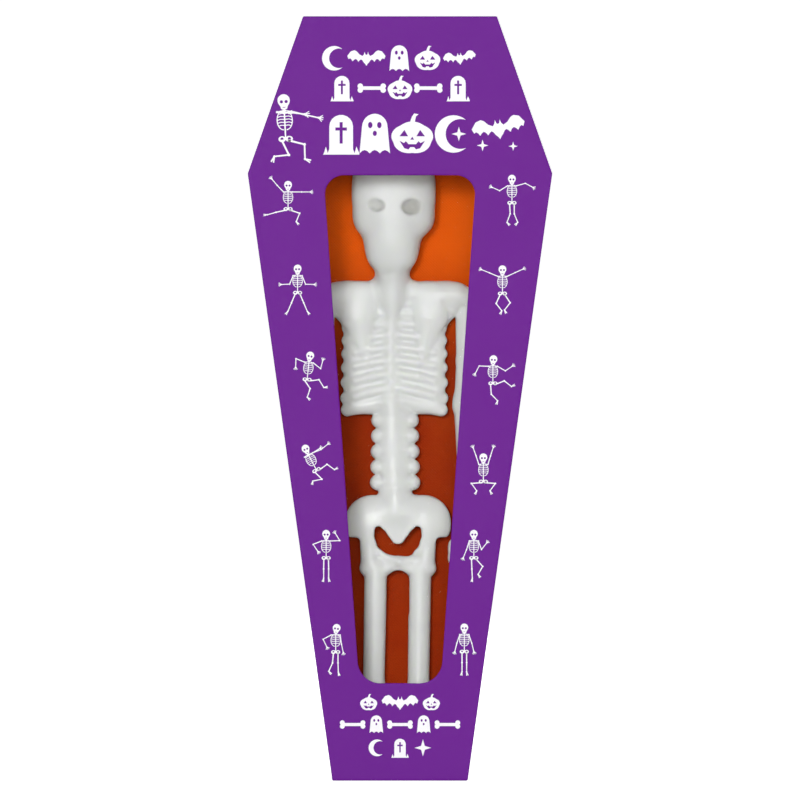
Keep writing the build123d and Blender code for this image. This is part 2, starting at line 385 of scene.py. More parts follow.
def liner_material():
    """Nonwoven cloth with a fine welded dot grid, orange at the head and darker red lower down, the darkening
    partly painted shade.
    """
    material, tree, shader = new_material(
        "orange nonwoven cloth", Roughness=0.8, Specular_IOR_Level=0.08
    )
    flat = node(tree, "ShaderNodeUVMap", uv_map="cloth").outputs["UV"]
    parts = node(tree, "ShaderNodeSeparateXYZ", {"Vector": flat})
    across, up = parts.outputs["X"], parts.outputs["Y"]

    # Welded dots in a diamond grid.
    pitch = DOT_PITCH * MM
    diagonal_a = maths(tree, "MULTIPLY", maths(tree, "ADD", across, up), math.pi / pitch)
    diagonal_b = maths(tree, "MULTIPLY", maths(tree, "SUBTRACT", across, up), math.pi / pitch)
    grid = maths(tree, "MULTIPLY", maths(tree, "SINE", diagonal_a), maths(tree, "SINE", diagonal_b))
    dots = ranged(tree, maths(tree, "ABSOLUTE", grid), 0.25, 0.8)

    drawn_out = node(tree, "ShaderNodeMapping", {"Vector": flat, "Scale": (1, 0.35, 1)}).outputs["Vector"]
    fibres = node(tree, "ShaderNodeTexNoise",
                  {"Vector": drawn_out, "Scale": 4200.0, "Detail": 3.0, "Roughness": 0.65, "Distortion": 0.6})
    cloud = node(tree, "ShaderNodeTexNoise", {"Vector": flat, "Scale": 60.0, "Detail": 3.0})
    # Partly painted shade: the cloth is made darker and redder towards the bottom.
    fade = ranged(tree, up, RED_BELOW * MM, ORANGE_ABOVE * MM)
    tone = mixed(tree, fade, (0.31, 0.015, 0.0010, 1), (0.92, 0.122, 0.0012, 1))
    tone = mixed(tree, maths(tree, "MULTIPLY", dots, 0.3), tone, (0.24, 0.014, 0.001, 1))
    light = mixed(tree, maths(tree, "MULTIPLY", cloud.outputs["Fac"], 0.22), tone, (0.95, 0.17, 0.003, 1))
    coloured(tree, shader, light, ranged(tree, fibres.outputs["Fac"], 0.3, 0.7, 0.62, 0.85))
    height = maths(tree, "SUBTRACT", maths(tree, "MULTIPLY", fibres.outputs["Fac"], 0.5), dots)
    bump(tree, shader, height, 0.6, 0.0001)
    return material


# What clear film of this index mirrors when it is seen face on.
FILM_INDEX, FACE_ON = 1.5, 0.0399


def film_material():
    """Clear film: a thin mirror that is almost unseen face on and shows its gloss at a slant."""
    material, tree, shader = new_material("clear film", Metallic=1.0)
    place = object_place(tree)
    smear = node(tree, "ShaderNodeTexNoise", {"Vector": place, "Scale": 35.0, "Detail": 4.0})
    tone = mixed(tree, smear.outputs["Fac"], (0.9, 0.92, 0.93, 1), (1.0, 1.0, 1.0, 1))
    coloured(tree, shader, tone, ranged(tree, smear.outputs["Fac"], 0.4, 0.7, 0.02, 0.06))
    gloss = node(tree, "ShaderNodeFresnel", {"IOR": FILM_INDEX}).outputs["Fac"]
    gloss = maths(tree, "SUBTRACT", gloss, FACE_ON, clamp=True)
    inner = node(tree, "ShaderNodeNewGeometry").outputs["Backfacing"]
    outer = maths(tree, "SUBTRACT", 1.0, inner)
    tree.links.new(maths(tree, "MULTIPLY", gloss, outer), shader.inputs["Alpha"])
    bump(tree, shader, smear.outputs["Fac"], 0.05, 0.0005)
    return material


def stage_material():
    """White to the camera, and greyer to the light that falls back on the carton."""
    material, tree, shader = new_material("pale floor", Roughness=0.8, Emission_Color=(1, 1, 1, 1))
    grain = node(tree, "ShaderNodeTexNoise", {"Vector": object_place(tree), "Scale": 3.0})
    tone = mixed(tree, grain.outputs["Fac"], (0.90, 0.90, 0.90, 1), (0.92, 0.92, 0.92, 1))
    seen = node(tree, "ShaderNodeLightPath").outputs["Is Camera Ray"]
    tree.links.new(mixed(tree, seen, (0.45, 0.45, 0.45, 1), tone), shader.inputs["Base Color"])
    tree.links.new(maths(tree, "MULTIPLY", seen, 0.82), shader.inputs["Emission Strength"])
    return material


PRINTED = printed_card_material()
BARE = bare_card_material()
WHITE_INK = white_ink_material()
RUBBER = rubber_material()
LINER = liner_material()
FILM = film_material()


# --- Carton -----------------------------------------------------------------------------------------
FOLD_RADIUS = 0.7
FOLD_STEPS = 4
# How far the board is flat and unworn beside a fold, and the rubbed strip at the tray's mouth.
FOLD_REACH = 1.3
MOUTH_STRIP = 0.35
# The lid's face: widths of its rubbed rims, how far they fall back, and the air before the flaps.
OUTER_RIM, WINDOW_RIM = 0.9, 0.7
RIM_EASE = 0.05
FLAP_GAP = 0.02


def coffin_ring(distance, radius):
    """The coffin's rounded outline, moved inwards, with support points beside each corner."""
    corners = inset(COFFIN, distance)
    ring, near_fold = [], []
    count = len(corners)
    for i in range(count):
        before, after = corners[i - 1], corners[(i + 1) % count]
        arc = arc_corner(before, corners[i], after, radius, FOLD_STEPS)
        supports = []
        for end, neighbour in ((arc[0], before), (arc[-1], after)):
            step = np.array(neighbour) - end
            supports.append(end + step / np.linalg.norm(step) * FOLD_REACH)
        ring += [supports[0], *arc, supports[1]]
        near_fold += [0.0] + [1.0] * len(arc) + [0.0]
    return ring, near_fold


def make_tray():
    """Walls and back panel as one folded sheet with soft folds, open at the front."""
    # Rows from mouth to back: depth, distance inwards, and how worn the fold is.
    rows = [(LID_INSIDE, 0.0, 1.0), (LID_INSIDE + MOUTH_STRIP, 0.0, 0.7), (LID_INSIDE + FOLD_REACH, 0.0, 0.0)]
    rows += [(LID_INSIDE + (BACK - LID_INSIDE) * share, 0.0, 0.0) for share in (0.25, 0.5, 0.75)]
    rows.append((BACK - FOLD_RADIUS - FOLD_REACH, 0.0, 0.0))
    for i in range(FOLD_STEPS + 1):
        w = math.pi / 2 * i / FOLD_STEPS
        rows.append((BACK - FOLD_RADIUS * (1 - math.sin(w)), FOLD_RADIUS * (1 - math.cos(w)), 1.0))
    rows.append((BACK, FOLD_RADIUS + FOLD_REACH, 0.0))
    points, folds = [], []
    for y, distance, fold in rows:
        ring, near = coffin_ring(distance, FOLD_RADIUS + 0.2)
        points += [(x, y, z) for x, z in ring]
        folds += [max(fold, n) for n in near]
    size = len(ring)
    faces = strip_faces(len(rows), size)
    last = (len(rows) - 1) * size
    faces.append(tuple(last + i for i in range(size)))
    tray = mesh_object("tray_card", points, faces)
    wall = tray.data.polygons[0]
    if wall.normal.dot(wall.center - Vector((0, wall.center.y, COFFIN_HEIGHT * MM / 2))) < 0:
        tray.data.flip_normals()
    store(tray, "fold", folds)
    finish_card(tray)
    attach(tray, "coffin_tray")
    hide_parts("back_panel", *[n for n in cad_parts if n.endswith("_wall")])


def finish_card(obj, thickness=CARD):
    """Gives a sheet its board thickness, inwards, with a bare inside and bare cut edges."""
    obj.data.materials.append(PRINTED)
    obj.data.materials.append(BARE)
    solid = obj.modifiers.new("board", "SOLIDIFY")
    solid.thickness = thickness * MM
    solid.offset = -1.0
    solid.use_even_offset = True
    solid.use_quality_normals = True
    solid.material_offset = 1
    solid.material_offset_rim = 1
    applied(obj)


def applied(obj):
    """Replaces a piece's mesh by the result of its modifiers."""
    shape = bpy.data.meshes.new_from_object(obj.evaluated_get(bpy.context.evaluated_depsgraph_get()))
    obj.modifiers.clear()
    obj.data = shape


def resampled(ring, angles, centre):
    """Points where rays from a centre meet a closed outline."""
    ring = np.array(ring)
    made = []
    for a in angles:
        d = np.array([math.cos(a), math.sin(a)])
        best = None
        for p, q in zip(ring, np.roll(ring, -1, axis=0)):
            e = q - p
            det = d[0] * -e[1] + d[1] * e[0]
            if abs(det) < 1e-12:
                continue
            r = p - centre
            t = (r[0] * -e[1] + r[1] * e[0]) / det
            u = (d[0] * r[1] - d[1] * r[0]) / det
            if t > 0 and -1e-9 <= u <= 1 + 1e-9 and (best is None or t > best):
                best = t
        made.append(centre + d * best)
    return made


def ring_angles(outlines, centre, extra):
    """Sorted angles of every outline point about a centre, with even ones between."""
    found = [2 * math.pi * i / extra for i in range(extra)]
    for outline in outlines:
        found += [math.atan2(p[1] - centre[1], p[0] - centre[0]) % (2 * math.pi) for p in outline]
    found = sorted(found)
    return [a for i, a in enumerate(found) if i == 0 or a - found[i - 1] > 1e-5]


def make_front_panel():
    """The lid's face: a sheet round the window, its rims eased by the die's cut."""
    window = rounded_outline(
        WINDOW, [WINDOW_BOTTOM_RADIUS] * 2 + [WINDOW_TOP_RADIUS] * 2, steps=14
    )
    outer = rounded_outline(COFFIN, [0.35] * len(COFFIN), steps=2)
    centre = np.array([0.0, (WINDOW_TOP + WINDOW_BOTTOM) / 2])
    angles = ring_angles([window, outer], centre, 64)
    outer_ring = resampled(outer, angles, centre)
    window_ring = resampled(window, angles, centre)
    shrunk_outer = [centre + (p - centre) * (1 - OUTER_RIM / np.linalg.norm(p - centre)) for p in outer_ring]
    grown_window = [centre + (p - centre) * (1 + WINDOW_RIM / np.linalg.norm(p - centre))
                    for p in window_ring]
    # Rings from the outside in: outline, depth and wear.
    rings = [
        (outer_ring, FRONT + RIM_EASE, 1.0),
        ([p + (q - p) * 0.25 for p, q in zip(outer_ring, shrunk_outer)], FRONT, 0.9),
        (shrunk_outer, FRONT, 0.0),
    ]
    for share in (0.25, 0.5, 0.75):
        rings.append(([p + (q - p) * share for p, q in zip(shrunk_outer, grown_window)], FRONT, 0.0))
    rings += [
        (grown_window, FRONT, 0.0),
        ([p + (q - p) * 0.2 for p, q in zip(window_ring, grown_window)], FRONT, 0.25),
        (window_ring, FRONT + RIM_EASE, 0.35),
    ]
    points, folds = [], []
    for ring, y, fold in rings:
        points += [(x, y, z) for x, z in ring]
        folds += [fold] * len(ring)
    panel = mesh_object("front_card", points, strip_faces(len(rings), len(angles)))
    if panel.data.polygons[0].normal.y > 0:
        panel.data.flip_normals()
    store(panel, "fold", folds)
    finish_card(panel, CARD - RIM_EASE - FLAP_GAP)
    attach(panel, "lid")
    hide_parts("front_panel")


def refinished(name, material):
    """A CAD node that keeps its own shape and takes a new material."""
    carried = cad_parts[name]
    carried.data.materials.clear()
    carried.data.materials.append(material)


for flap_node in [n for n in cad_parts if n.endswith("_tuck_flap")] + ["glue_tabs"]:
    refinished(flap_node, BARE)
make_tray()
make_front_panel()
refinished("window_film", FILM)


# --- Cloth liner ------------------------------------------------------------------------------------
CLOTH_THICK = 0.2
CLOTH_EDGE_GAP = 0.2
CLOTH_ROW = 1.2
CLOTH_COLUMNS = 61
# The middle of the space that the cloth lies in, behind the front of its CAD solid.
CLOTH_DEPTH = 0.55


def make_liner():
    """A hexagon of nonwoven cloth, laid in the tray: nearly flat, with soft puckers near its edge."""
    edge = inset(COFFIN, (liner_high[1] - liner_low[1]) + CLOTH_EDGE_GAP)

    def half_at(z):
        """Half the cloth's width at a height."""
        (x0, z0), (x1, z1), (x2, z2) = edge[1], edge[2], edge[3]
        if z < z1:
            return x0 + (x1 - x0) * (z - z0) / (z1 - z0)
        return x1 + (x2 - x1) * (z - z1) / (z2 - z1)

    low, high = edge[0][1], edge[3][1]
    rows = np.linspace(low, high, int((high - low) / CLOTH_ROW))
    points, uv = [], []
    for z in rows:
        half = half_at(z)
        for s in np.linspace(-1, 1, CLOTH_COLUMNS):
            x = half * s
            border = min(half * (1 - abs(s)), z - low, high - z)
            pucker = math.exp(-border / 5.0)
            wave = math.sin(z * 0.35 + 3.0 * s + 2.0 * math.sin(z * 0.08))
            wave += 0.6 * math.sin(x * 0.5 + z * 0.13)
            lift = 0.18 + 0.06 * math.sin(x * 0.21 + z * 0.17) * math.cos(z * 0.05)
            lift += pucker * (0.35 + 0.25 * wave)
            points.append((x, liner_low[1] + CLOTH_DEPTH - lift, z))
            uv.append((x * MM, z * MM))
    cloth = mesh_object("liner_cloth", points, strip_faces(len(rows), CLOTH_COLUMNS, closed=False))
    layer = cloth.data.uv_layers.new(name="cloth")
    for loop in cloth.data.loops:
        layer.data[loop.index].uv = uv[loop.vertex_index]
    cloth.data.materials.append(LINER)
    solid = cloth.modifiers.new("cloth thickness", "SOLIDIFY")
    solid.thickness = CLOTH_THICK * MM
    solid.offset = -1.0
    applied(cloth)
    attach(cloth, "coffin_tray")
    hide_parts("fabric_liner")


make_liner()


# --- Skeleton ---------------------------------------------------------------------------------------
# Its shape is a block of distances that lumps are pressed into with soft joins. Places are
# (x from its middle, distance in front of its flat back, height), in millimetres.
def joined(a, b, soft):
    """The distance to both of two shapes as one, blended over soft millimetres."""
    h = np.clip(0.5 + 0.5 * (a - b) / soft, 0, 1)
    return a * (1 - h) + b * h - soft * h * (1 - h)


class Clay:
    """A block of distances to the surface, below 0 inside the figure."""

    def __init__(self, low, high, step):
        self.low, self.step = np.array(low, float), step
        self.count = [int((h - l) / step) + 1 for l, h in zip(low, high)]
        self.axes = [l + step * np.arange(n) for l, n in zip(self.low, self.count)]
        self.field = np.full(self.count, 9.0, np.float32)

    def window(self, low, high, margin):
        """The part of the block near a lump, and its coordinates."""
        cut, grids = [], []
        for i in range(3):
            a = int(np.clip((low[i] - margin - self.low[i]) / self.step, 0, self.count[i] - 1))
            b = int(np.clip((high[i] + margin - self.low[i]) / self.step + 2, 1, self.count[i]))
            cut.append(slice(a, b))
            shape = [1, 1, 1]
            shape[i] = -1
            grids.append(self.axes[i][a:b].reshape(shape).astype(np.float32))
        return tuple(cut), grids

    def press(self, lump, soft=0.8):
        """Adds a lump, blended over soft millimetres."""
        low, high, distance = lump
        cut, grids = self.window(low, high, soft + 2.5)
        self.field[cut] = joined(self.field[cut], distance(*grids), soft)

    def hollow(self, lump, soft=0.6):
        """Cuts a lump away, blended over soft millimetres."""
        low, high, distance = lump
        cut, grids = self.window(low, high, soft + 2.5)
        self.field[cut] = -joined(-self.field[cut], distance(*grids), soft)


def limb(a, b, radius_a, radius_b, flat=1.0):
    """A tapered rod with round ends. flat squeezes it in depth about its own line."""
    a, b = np.array(a, float), np.array(b, float)
    biggest = max(radius_a, radius_b)

    def distance(x, d, z):
        ab = b - a
        px, pd, pz = x - a[0], d - a[1], z - a[2]
        t = np.clip((px * ab[0] + pd * ab[1] + pz * ab[2]) / (ab @ ab), 0, 1)
        qx, qd, qz = px - t * ab[0], (pd - t * ab[1]) / flat, pz - t * ab[2]
        return (np.sqrt(qx * qx + qd * qd + qz * qz) - (radius_a + (radius_b - radius_a) * t)) * min(flat, 1)

    return np.minimum(a, b) - biggest, np.maximum(a, b) + biggest, distance


def egg(centre, radii, power=2.0):
    """An ellipsoid. A power over 2 makes it boxier."""
    c, r = np.array(centre, float), np.array(radii, float)

    def distance(x, d, z):
        u, v, w = np.abs(x - c[0]) / r[0], np.abs(d - c[1]) / r[1], np.abs(z - c[2]) / r[2]
        k = np.maximum((u**power + v**power + w**power) ** (1 / power), 1e-6)
        q = 2 * (power - 1)
        slope = np.sqrt((u / k) ** q / r[0] ** 2 + (v / k) ** q / r[1] ** 2 + (w / k) ** q / r[2] ** 2)
        return (k - 1) / np.maximum(slope, 1e-6)

    return c - r, c + r, distance


def slab(centre, halves, radius):
    """A box with round edges."""
    c, h = np.array(centre, float), np.array(halves, float)

    def distance(x, d, z):
        ax = np.maximum(np.abs(x - c[0]) - h[0] + radius, 0)
        ad = np.maximum(np.abs(d - c[1]) - h[1] + radius, 0)
        az = np.maximum(np.abs(z - c[2]) - h[2] + radius, 0)
        return np.sqrt(ax * ax + ad * ad + az * az) - radius

    return c - h, c + h, distance


def chain(points, radii, flat=1.0):
    """The rods that join a row of points."""
    return [limb(points[i], points[i + 1], radii[i], radii[i + 1], flat) for i in range(len(points) - 1)]


def through(points, radii):
    """A slot cut right through, along a row of points (x, height)."""
    return chain([(x, 3.0, z) for x, z in points], radii, flat=12.0)


# Lobes of the loins, ribs, and the middles of spine, chest, ridge and hips.
SPINE_PITCH = 4.1
SPINE_TOP = 94.2
SPINE_X = -0.3
RIB_PAIRS = 9
RIB_TOP = 127.6
CHEST_X = -0.5
RIDGE_X = -1.2
HIP_X = 0.45
# Eye sockets: middle, height, half width, half height and depth.
SOCKETS = ((-5.6, 150.9, 2.4, 1.65, 2.0), (4.3, 150.5, 2.8, 2.15, 2.7))


def rib_level(i):
    """Height where rib pair i leaves the spine. The ribs get wider towards the waist."""
    return RIB_TOP - 2.3 * i - 0.1 * i * i


def model_skull(clay):
    """Brow and cheeks, jaw, throat with a ridge down to the spine, and two shallow eye sockets."""
    x = SKULL_X - FIGURE_X + 0.25
    jaw_x = x - 0.45
    clay.press(egg((x, 6.8, 154.5), (11.1, 7.2, 13.6), 2.5), 0.5)
    for side in (-1, 1):
        clay.press(egg((x + side * 6.9, 6.6, 147.4), (3.6, 5.0, 3.9)), 1.8)
    clay.press(egg((jaw_x, 6.4, 140.2), (7.0, 6.2, 7.0), 2.6), 1.2)
    clay.press(egg((jaw_x, 6.4, 146.0), (7.6, 7.3, 9.5), 2.2), 2.6)
    throat = [(jaw_x, 5.6, 141.0), (RIDGE_X + 0.2, 3.9, 132.2), (RIDGE_X, 2.4, 129.0)]
    for rod in chain(throat, [4.8, 3.8, 3.4]):
        clay.press(rod, 2.2)
    clay.press(egg((RIDGE_X, 2.8, 127.6), (7.0, 4.0, 4.6)), 2.6)
    clay.press(limb((jaw_x, 8.9, 141.5), (RIDGE_X, 4.5, 119.0), 2.2, 1.4), 3.6)
    for middle, height, wide, tall, deep in SOCKETS:
        clay.hollow(egg((middle, 14.1, height), (wide, deep, tall)), 0.6)


def model_chest(clay):
    """Ribs on a flat plate, the hem below them, shoulder blades, armpits, shoulders and the ridge."""
    clay.press(slab((CHEST_X, 2.5, 113.0), (13.4, 2.7, 17.2), 2.4), 1.0)
    for i in range(RIB_PAIRS):
        z = rib_level(i)
        thick = 0.95 + 0.06 * i
        drop = 0.3 + 0.3 * i
        for side in (-1, 1):
            route = [
                (CHEST_X + side * 1.4, 4.7, z),
                (CHEST_X + side * 6.2, 4.75, z - drop * 0.35),
                (CHEST_X + side * 10.4, 4.2, z - drop * 0.8),
                (CHEST_X + side * 12.5, 2.9, z - drop),
            ]
            for rod in chain(route, [thick, thick, thick * 1.05, thick * 1.25]):
                clay.press(rod, 0.4)
    for side in (-1, 1):
        hem = [(CHEST_X + side * 2.4, 4.2, 99.5), (CHEST_X + side * 12.4, 3.2, 97.0)]
        clay.press(limb(*hem, 1.7, 1.75), 0.6)
        x = CHEST_X + side * 9.5
        clay.press(egg((x, 4.3, 124.2), (5.0, 2.7, 6.4), 2.6), 0.5)
        tip = [(x - side * 0.2, 4.7, 121.0), (x - side * 2.5, 5.0, 108.6)]
        clay.press(limb(*tip, 4.5, 0.6, 0.52), 0.5)
        pit = [(side * 14.6 - ARM_SPREAD / 2, 3.0, 124.0), (side * 13.2 - ARM_SPREAD / 2, 2.9, 120.4)]
        clay.press(limb(*pit, 2.7, 1.2), 0.8)
        clay.press(limb((CHEST_X + side * 5.0, 3.5, 128.1), (side * 15.6, 3.4, 127.6), 2.8, 3.1, 0.95), 1.6)
        clay.press(limb((side * 13.4, 3.3, 127.4), (side * 17.9, 3.1, 126.5), 3.2, 3.0), 1.8)
    clay.press(limb((RIDGE_X, 4.3, 130.0), (RIDGE_X, 4.2, 97.0), 1.8, 1.8), 1.5)


def model_waist(clay):
    """Five pairs of lobes down the loins, with a ridge along the middle."""
    clay.press(slab((SPINE_X, 2.7, 85.0), (4.4, 2.9, 13.0), 2.2), 0.8)
    for i in range(5):
        z = SPINE_TOP - SPINE_PITCH * i
        reach = 4.25 + 0.1 * i
        lobe = limb((SPINE_X - reach, 3.2, z), (SPINE_X + reach, 3.2, z), 2.05, 2.05, 1.15)
        clay.press(lobe, 0.4)
    clay.press(limb((RIDGE_X, 3.7, 98.0), (SPINE_X, 3.5, 70.0), 2.3, 2.4), 2.4)


def model_pelvis(clay):
    """Two wings and a bridge, with a crescent opening, side notches and the fork of the legs."""
    for side in (-1, 1):
        clay.press(egg((HIP_X + side * 6.5, 3.2, 67.0), (7.5, 3.2, 7.5), 2.1), 0.8)
        clay.press(limb((HIP_X + side * 7.9, 3.3, 66.0), (HIP_X + side * 7.2, 3.2, 56.0), 2.6, 2.7), 1.0)
    clay.press(slab((HIP_X, 2.6, 56.2), (6.0, 2.8, 2.7), 1.8), 1.0)
    clay.press(egg((HIP_X, 3.4, 70.2), (7.4, 3.5, 5.0)), 1.2)
    for side in (-1, 1):
        clay.hollow(slab((HIP_X + side * 13.5, 3.0, 59.7), (3.5, 9.0, 3.6), 1.3), 0.6)
        clay.press(egg((HIP_X + side * 8.2, 3.1, 54.9), (1.9, 2.3, 1.7)), 0.9)
    clay.press(slab((HIP_X, 2.7, 65.0), (6.5, 3.1, 6.0), 2.0), 1.0)
    crescent = [(0.0, 59.7), (2.2, 60.1), (3.7, 61.9), (4.6, 63.8), (5.15, 65.2)]
    for side in (-1, 1):
        for rod in through([(HIP_X + side * x, z) for x, z in crescent], [1.65, 1.85, 1.9, 1.6, 1.05]):
            clay.hollow(rod, 0.5)
    clay.press(limb((SPINE_X, 4.6, 74.0), (HIP_X, 3.9, 65.2), 1.5, 0.9), 2.2)
    for side in (-1, 1):
        fold = [(HIP_X + side * 0.4, 4.9, 57.2), (HIP_X + side * 5.4, 4.7, 59.2 - 0.9 * (side + 1))]
        clay.press(limb(*fold, 0.8, 0.5), 1.2)
        clay.press(limb((HIP_X + side * 0.4, 4.9, 56.8), (HIP_X + side * 4.6, 4.7, 53.8), 0.8, 0.5), 1.2)
    clay.hollow(limb((HIP_X + 0.1, 3.0, 51.7), (HIP_X + 0.05, 3.0, 44.0), 2.9, 2.9, 8.0), 0.4)


def model_leg(clay, side):
    """Thigh, knee, shin, ankle and a foot that points forwards, with four toes."""
    top = HIP_X + side * 5.85
    bottom = side * 5.9
    clay.press(limb((top, 3.1, 55.0), (bottom, 3.1, 26.0), 3.0, 2.85), 0.5)
    clay.press(egg((bottom, 3.1, 22.6), (3.2, 3.0, 3.6)), 1.4)
    clay.press(limb((bottom, 3.0, 22.0), (bottom, 2.9, 7.5), 2.5, 1.9), 1.2)
    clay.press(egg((bottom, 3.0, 6.0), (2.4, 2.5, 2.2)), 1.0)
    clay.press(limb((bottom, 2.4, 4.2), (side * 6.1, 7.6, 3.6), 2.0, 1.7), 1.0)
    for toe in range(4):
        spread = (toe - 1.5) * 1.15
        end = (side * 6.15 + spread, 9.4 - 0.25 * abs(spread), 3.2)
        clay.press(limb((side * 6.1 + spread * 0.7, 7.4, 3.5), end, 0.85, 0.75), 0.4)


# The arm's middle: heights from the fingertips up, and its distance from the figure's middle.
ARM_LEVELS = (56.0, 61.0, 66.5, 83.0, 97.5, 110.0, 125.0)
ARM_REACHES = (15.5, 15.9, 17.4, 18.2, 17.6, 18.1, 18.1)
ARM_SPREAD = 0.7


def arm_x(side, z):
    """Where the middle of an arm is. The left arm lies a little further out."""
    return side * float(np.interp(z, ARM_LEVELS, ARM_REACHES)) - (ARM_SPREAD if side < 0 else 0)


def model_arm(clay, side):
    """Upper arm, elbow, forearm, wrist, palm, four fingers and a thumb."""
    levels = [125.4, 110.0, 97.5, 83.0, 66.5]
    radii = [2.5, 2.25, 2.35, 2.1, 1.75]
    route = [(arm_x(side, z), 3.0 - 0.1 * i, z) for i, z in enumerate(levels)]
    for rod in chain(route, radii):
        clay.press(rod, 0.8)
    clay.press(egg((arm_x(side, 98.5), 2.8, 99.0), (2.5, 2.7, 3.2)), 1.4)
    clay.press(egg((arm_x(side, 66.4), 2.5, 66.4), (2.0, 2.1, 2.2)), 1.0)
    palm = [(arm_x(side, 65.0) + side * 0.3, 2.3, 64.6), (arm_x(side, 61.5) + side * 0.2, 2.3, 61.4)]
    clay.press(limb(*palm, 1.7, 2.1, 0.75), 0.9)
    for finger in range(4):
        spread = (finger - 1.5) * 1.0
        knuckle = arm_x(side, 61.0) + spread
        tip = 56.6 + 0.45 * abs(spread)
        clay.press(limb((knuckle, 2.3, 61.0), (knuckle + spread * 0.1, 2.2, tip), 0.75, 0.62), 0.35)
    thumb = arm_x(side, 62.0) - side * 1.5
    clay.press(limb((thumb, 2.6, 61.8), (thumb - side * 0.3, 3.2, 59.4), 0.8, 0.65), 0.4)


def surface(clay):
    """The zero surface of the block as quads: one point in each cell that the surface crosses."""
    f = clay.field
    n = np.array(f.shape)
    inside = f < 0
    corners = [(i, j, k) for i in (0, 1) for j in (0, 1) for k in (0, 1)]
    total = np.zeros(n - 1, np.int8)
    for i, j, k in corners:
        total += inside[i : n[0] - 1 + i, j : n[1] - 1 + j, k : n[2] - 1 + k]
    cells = np.argwhere((total > 0) & (total < 8))
    index = np.full(n - 1, -1, np.int64)
    index[tuple(cells.T)] = np.arange(len(cells))
    places, hits = np.zeros((len(cells), 3)), np.zeros(len(cells))
    for axis in range(3):
        others = [a for a in range(3) if a != axis]
        for s in (0, 1):
            for t in (0, 1):
                offset = np.zeros(3, int)
                offset[others[0]], offset[others[1]] = s, t
                start = cells + offset
                end = start.copy()
                end[:, axis] += 1
                a, b = f[tuple(start.T)], f[tuple(end.T)]
                crossed = (a < 0) != (b < 0)
                share = a[crossed] / (a[crossed] - b[crossed])
                point = start[crossed].astype(float)
                point[:, axis] += share
                places[crossed] += point
                hits[crossed] += 1
    places /= hits[:, None]
    quads = []
    for axis in range(3):
        u, v = [(1, 2), (2, 0), (0, 1)][axis]
        low = [slice(None)] * 3
        high = [slice(None)] * 3
        low[axis], high[axis] = slice(0, n[axis] - 1), slice(1, n[axis])
        change = inside[tuple(low)] != inside[tuple(high)]
        edges = np.argwhere(change)
        keep = (edges[:, u] > 0) & (edges[:, v] > 0) & (edges[:, u] < n[u] - 1) & (edges[:, v] < n[v] - 1)
        edges = edges[keep]
        starts_inside = inside[tuple(edges.T)]
        around = []
        for du, dv in ((-1, -1), (0, -1), (0, 0), (-1, 0)):
            cell = edges.copy()
            cell[:, u] += du
            cell[:, v] += dv
            around.append(index[tuple(cell.T)])
        quad = np.stack(around, 1)
        quad[~starts_inside] = quad[~starts_inside][:, ::-1]
        quads.append(quad)
    return places, np.concatenate(quads)


def sampled(values, places):
    """Values of a grid at places between its points."""
    base = np.clip(np.floor(places).astype(int), 0, np.array(values.shape) - 2)
    share = places - base
    result = np.zeros(len(places))
    for i in (0, 1):
        for j in (0, 1):
            for k in (0, 1):
                weight = np.ones(len(places))
                for axis, bit in enumerate((i, j, k)):
                    weight *= share[:, axis] if bit else 1 - share[:, axis]
                result += weight * values[base[:, 0] + i, base[:, 1] + j, base[:, 2] + k]
    return result


# Where the skin is cut into pieces: heights, and the distance out at the shoulders. Each cut lies
# where both of its sides follow one body, so no cut opens in a pose.
ARMPIT = 120.8
SHOULDER_SIDE = 12.0
HEAD_SEAM, BACK_SEAM, HIP_SEAM = 131.3, 86.0, 57.6
SHOULDER_SEAM, ELBOW_SEAM, FINGER_END = 113.0, 84.0, 50.0
THIGH_SEAM, SHIN_SEAM = 40.0, 15.0


def skin_region(x, z, arm_side):
    """The name of the piece of skin at a point. arm_side is below 0 where an arm makes the surface."""
    side = -1 if x < 0 else 1
    hand = "left" if side < 0 else "right"
    on_arm = abs(x) > SHOULDER_SIDE if z > ARMPIT else z > FINGER_END and arm_side < 0
    if z > HEAD_SEAM:
        return "head_skin"
    if on_arm:
        if z > SHOULDER_SEAM:
            return f"{hand}_shoulder_skin"
        return f"{hand}_elbow_skin" if z > ELBOW_SEAM else f"{hand}_hand_skin"
    if z > BACK_SEAM:
        return "chest_skin"
    if z > HIP_SEAM:
        return "waist_skin"
    if z > THIGH_SEAM:
        return f"{hand}_hip_skin"
    if z > SHIN_SEAM:
        return f"{hand}_knee_skin"
    return f"{hand}_foot_skin"


def skin_bends():
    """For each piece of skin: its two bodies, where the bend starts and ends, and what it stands for."""
    level = "z"
    bends = {
        "head_skin": ("torso", "head", level, 131.5, 136.5, ["skull", "neck"]),
        "chest_skin": ("waist", "torso", level, 93.5, 99.0, ["chest"]),
        "waist_skin": ("hips", "waist", level, 75.5, 81.0, ["lumbar_spine", "pelvis"]),
    }
    for hand, side in (("left", -1), ("right", 1)):
        body = {n: f"{hand}_{n}_body" for n in ("upper_arm", "forearm", "hand", "thigh", "shin", "foot")}
        inner, outer = side * 14.05 - 0.45, side * 16.05 - ARM_SPREAD / 2
        bends[f"{hand}_shoulder_skin"] = (
            "torso", body["upper_arm"], "x", inner, outer, [f"{hand}_upper_arm"])
        bends[f"{hand}_elbow_skin"] = (
            body["upper_arm"], body["forearm"], level, 104.5, 97.5, [f"{hand}_forearm"])
        bends[f"{hand}_hand_skin"] = (
            body["forearm"], body["hand"], level, 68.5, 63.5, [f"{hand}_hand"])
        bends[f"{hand}_hip_skin"] = ("hips", body["thigh"], level, 54.4, 49.0, [f"{hand}_thigh"])
        bends[f"{hand}_knee_skin"] = (body["thigh"], body["shin"], level, 28.0, 21.5, [f"{hand}_shin"])
        bends[f"{hand}_foot_skin"] = (body["shin"], body["foot"], level, 8.4, 4.6, [f"{hand}_foot"])
    return bends


